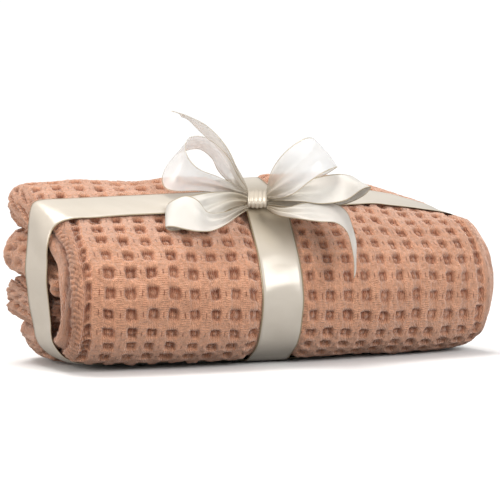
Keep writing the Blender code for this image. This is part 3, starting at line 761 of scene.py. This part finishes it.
def bow_strip(name, rows, seed, material, lines=31):
    """A ribbon between two edge curves. Near the knot it is gathered: where the edges are less
    than its width apart, it stands in pleats that take up the rest, and they fade with the
    distance from the knot. Beyond them it is cupped a little."""
    edges = curved_rows(rows, 12)
    w = np.linspace(0, 1, lines)[None, :]
    flat = edges[:, None, :3] * (1 - w[..., None]) + edges[:, None, 3:] * w[..., None]
    middle = flat[:, lines // 2]
    walk = walked(middle)
    normal = np.cross(np.gradient(middle, axis=0), edges[:, 3:] - edges[:, :3])
    normal /= np.linalg.norm(normal, axis=1)[:, None]
    from_knot = (np.minimum(walk, walk[-1] - walk) if "loop" in name else walk)[:, None]
    rng = np.random.default_rng(seed)
    start, lean = rng.uniform(0, 2 * np.pi), rng.uniform(-0.3, 0.3)
    wide = np.linalg.norm(edges[:, 3:] - edges[:, :3], axis=1)[:, None]
    spare = np.sqrt(np.maximum(RIBBON_WIDE**2 - wide**2, 0))
    pleat = np.minimum(spare / (4 * PLEATS), PLEAT_DEEP) * np.exp(-((from_knot / 42) ** 2))
    pleat = pleat * np.clip(0.35 + from_knot / 9, 0, 1)
    uneven = PLEATS * (w + lean * w * (1 - w)) + 0.05 * np.sin(from_knot / 9)
    wave = np.cos(2 * np.pi * uneven + start)
    cup = 1.6 * smooth_step(5, 40, from_knot) * (1 - (2 * w - 1) ** 2)
    cup = cup * np.sin(walk / walk[-1] * 5 + start)[:, None]
    top = flat + normal[:, None, :] * (pleat * wave + cup - SATIN_THICK / 2)[..., None]
    across = np.linspace(-RIBBON_WIDE / 2, RIBBON_WIDE / 2, lines)
    outward = normal[:, None, :] * np.ones((1, lines, 1))
    placed_top = in_bow(top)
    placed_out = in_bow(top + outward) - placed_top
    # Painted shade near the knot, fading over 26 mm along the ribbon.
    painted_knot_shade = 0.8 * np.exp(-((from_knot[:, 0] / 26) ** 2))
    made = ribbon_sheet(
        name + "_satin", placed_top, placed_out, across, walk, False, material, painted_knot_shade)
    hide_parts(name)
    wide, long = RIBBON_WIDE / 1000, walk[-1] / 1000
    slant = 0.85 if "tail" in name else 1  # not used


# Copies of the same satin, painted lighter than the bands: painted light. The upper loops' copy is
# nearly white;
# the lower loops' copy is painted a little darker, painted shade where they lie on the cloth. Some
# real light comes through by subsurface and alpha.
airy_painted_lit = satin_material("satin_single_layer_painted_lit", "#F9FAFB", "#F4F4F4", thin=0.6, alpha=0.48)
soft = satin_material("satin_lower_loop", "#DAD7D1", "#D0CCC4", thin=0.4, alpha=0.75, rough=0.5)
sheer = satin_material("satin_sheer_end", "#F0ECE6", "#E6E1D8", thin=0.5, alpha=0.6)

# The knot: a barrel round the bow's right axis, its corners rounded by powers of 0.7, with
# pleats round it, and closed by a fan at each end.
wide, thick, deep = (size / 2 for size in KNOT_SIZE)
KNOT_LINES, KNOT_TURNS = 37, 72
along = np.linspace(-1, 1, KNOT_LINES)[:, None]
turn = np.linspace(0, 2 * np.pi, KNOT_TURNS, endpoint=False)[None, :]
pleats = 1 + 0.05 * np.cos(np.pi * 4.5 * along + 0.6 * np.sin(turn)) - 0.12 * along**2
out = thick * pleats * np.sign(np.cos(turn)) * np.abs(np.cos(turn)) ** 0.7
down = deep * pleats * np.sign(np.sin(turn)) * np.abs(np.sin(turn)) ** 0.7
grid = in_bow(np.stack(np.broadcast_arrays(
    wide * along, out * math.cos(TOP_SLOPE) - down * math.sin(TOP_SLOPE),
    out * math.sin(TOP_SLOPE) + down * math.cos(TOP_SLOPE)), -1))
quads = grid_quads(KNOT_LINES, KNOT_TURNS, False)[:, ::-1]
ends = np.vstack([grid[0].mean(axis=0), grid[-1].mean(axis=0)])
ring, last = np.arange(KNOT_TURNS), (KNOT_LINES - 1) * KNOT_TURNS
following, middle = (ring + 1) % KNOT_TURNS, np.full(KNOT_TURNS, KNOT_LINES * KNOT_TURNS)
fans = np.vstack([
    np.column_stack([following, ring, middle]),
    np.column_stack([ring + last, following + last, middle + 1]),
])
uv = np.stack(np.broadcast_arrays(along * 17, turn * 12), -1).reshape(-1, 2)
# The whole knot gets painted shade, 0.35 of the way to the satin's dark beige.
knot_piece = add_piece(
    "bow_knot_satin", np.vstack([grid.reshape(-1, 3), ends]) + placed, [quads, fans],
    np.vstack([uv, [(0, 0), (0, 0)]]), satin, np.full(len(uv) + 2, 0.35))
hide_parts("bow_knot")
for seed, (name, rows) in enumerate(BOW.items()):
    # The upper loops get the painted-lit copy, the lower loops the copy painted a little darker.
    finish = sheer if name == "bow_tail_left" else airy_painted_lit if "upper" in name else soft
    bow_strip(name, rows, seed, finish)

# ---- Floor, light and camera ---------------------------------------------------------------
# A plain white sweep under soft overhead light, as in a catalogue photograph, with one wide
# softbox in front, which the satin picks up, and a weak warm fill on the left.
FLOOR_HALF, FLOOR_LEVEL = 9, -0.0004
corners = [
    (x * FLOOR_HALF, y * FLOOR_HALF, FLOOR_LEVEL) for x, y in ((-1, -1), (1, -1), (1, 1), (-1, 1))]
mesh = bpy.data.meshes.new("floor")
mesh.from_pydata(corners, [], [(0, 1, 2, 3)])
floor = bpy.data.objects.new("floor", mesh)
bpy.context.scene.collection.objects.link(floor)

# White seamless paper, matt. The camera sees it nearly white, while it throws back less light
# than that on to the bundle, whose underside stays dark.
paper, tree, shader, node = new_material("white_paper")
shader.inputs["Roughness"].default_value = 0.9
shader.inputs["Specular IOR Level"].default_value = 0.1
mesh.materials.append(paper)
floor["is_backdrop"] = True
ray = node("ShaderNodeLightPath")
tone = node("ShaderNodeMapRange", {"Value": (ray, "Is Camera Ray"), "To Min": 0.35, "To Max": 0.9})
tree.links.new(tone.outputs["Result"], shader.inputs["Base Color"])

world = bpy.data.worlds.new("white_studio")
world.use_nodes = True
sky = world.node_tree.nodes["Background"]
sky.inputs["Color"].default_value = hex_linear("#FFFFFF")
seen = world.node_tree.nodes.new("ShaderNodeLightPath")
level = world.node_tree.nodes.new("ShaderNodeMapRange")
level.inputs["To Min"].default_value = 0.5  # as light
level.inputs["To Max"].default_value = 1.05  # as background
world.node_tree.links.new(seen.outputs["Is Camera Ray"], level.inputs["Value"])
world.node_tree.links.new(level.outputs["Result"], sky.inputs["Strength"])
bpy.context.scene.world = world
bpy.context.scene.view_settings.view_transform = "Standard"


def add_light(name, kind, place, target, power, colour, **settings):
    """A light at a place, turned to look at a target, with its settings by attribute."""
    data = bpy.data.lights.new(name, kind)
    data.energy, data.color = power, hex_linear(colour)[:3]
    for key, value in settings.items():
        setattr(data, key, value)
    lamp = bpy.data.objects.new(name, data)
    lamp.location = place
    lamp.rotation_euler = (Vector(target) - Vector(place)).to_track_quat("-Z", "Y").to_euler()
    bpy.context.scene.collection.objects.link(lamp)


add_light(
    "overhead", "SUN", (-0.35, 0.35, 2.0), (0, 0, 0), 2.45, "#FFFCF8", angle=math.radians(35))
add_light(
    "front_softbox", "AREA", (0.70, -1.35, 0.90), (0, 0, 0.08), 17.6, "#FFFFFF",
    shape="RECTANGLE", size=0.9, size_y=0.8)
add_light(
    "left_fill", "AREA", (-1.7, -0.35, 0.6), (0, 0, 0.08), 13.0, "#FFF6EE",
    shape="RECTANGLE", size=0.8, size_y=0.8)

# The camera: the middle of the bundle, 70 mm up, lies at this place in the picture, in pixels
PICTURE, MIDDLE_AT, PIXELS_A_METRE = 500, (255.6, 278), 1140
azimuth, elevation, distance = math.radians(-20), math.radians(5), 1.8
back = Vector((
    math.sin(azimuth) * math.cos(elevation),
    -math.cos(azimuth) * math.cos(elevation),
    math.sin(elevation)))
right = Vector((math.cos(azimuth), math.sin(azimuth), 0))
aim = Vector((placed[0] / 1000, placed[1] / 1000, 0.070))
lens = bpy.data.cameras.new("camera")
lens.sensor_width, lens.lens = 36, PIXELS_A_METRE * distance * 36 / PICTURE
lens.shift_x = -(MIDDLE_AT[0] - PICTURE / 2) / PICTURE
lens.shift_y = (MIDDLE_AT[1] - PICTURE / 2) / PICTURE
lens.clip_start = 0.05
camera = bpy.data.objects.new("camera", lens)
stand = Matrix((right, back.cross(right), back)).transposed().to_4x4()
stand.translation = aim + back * distance
camera.matrix_world = stand
bpy.context.scene.collection.objects.link(camera)
bpy.context.scene.camera = camera

low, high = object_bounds()
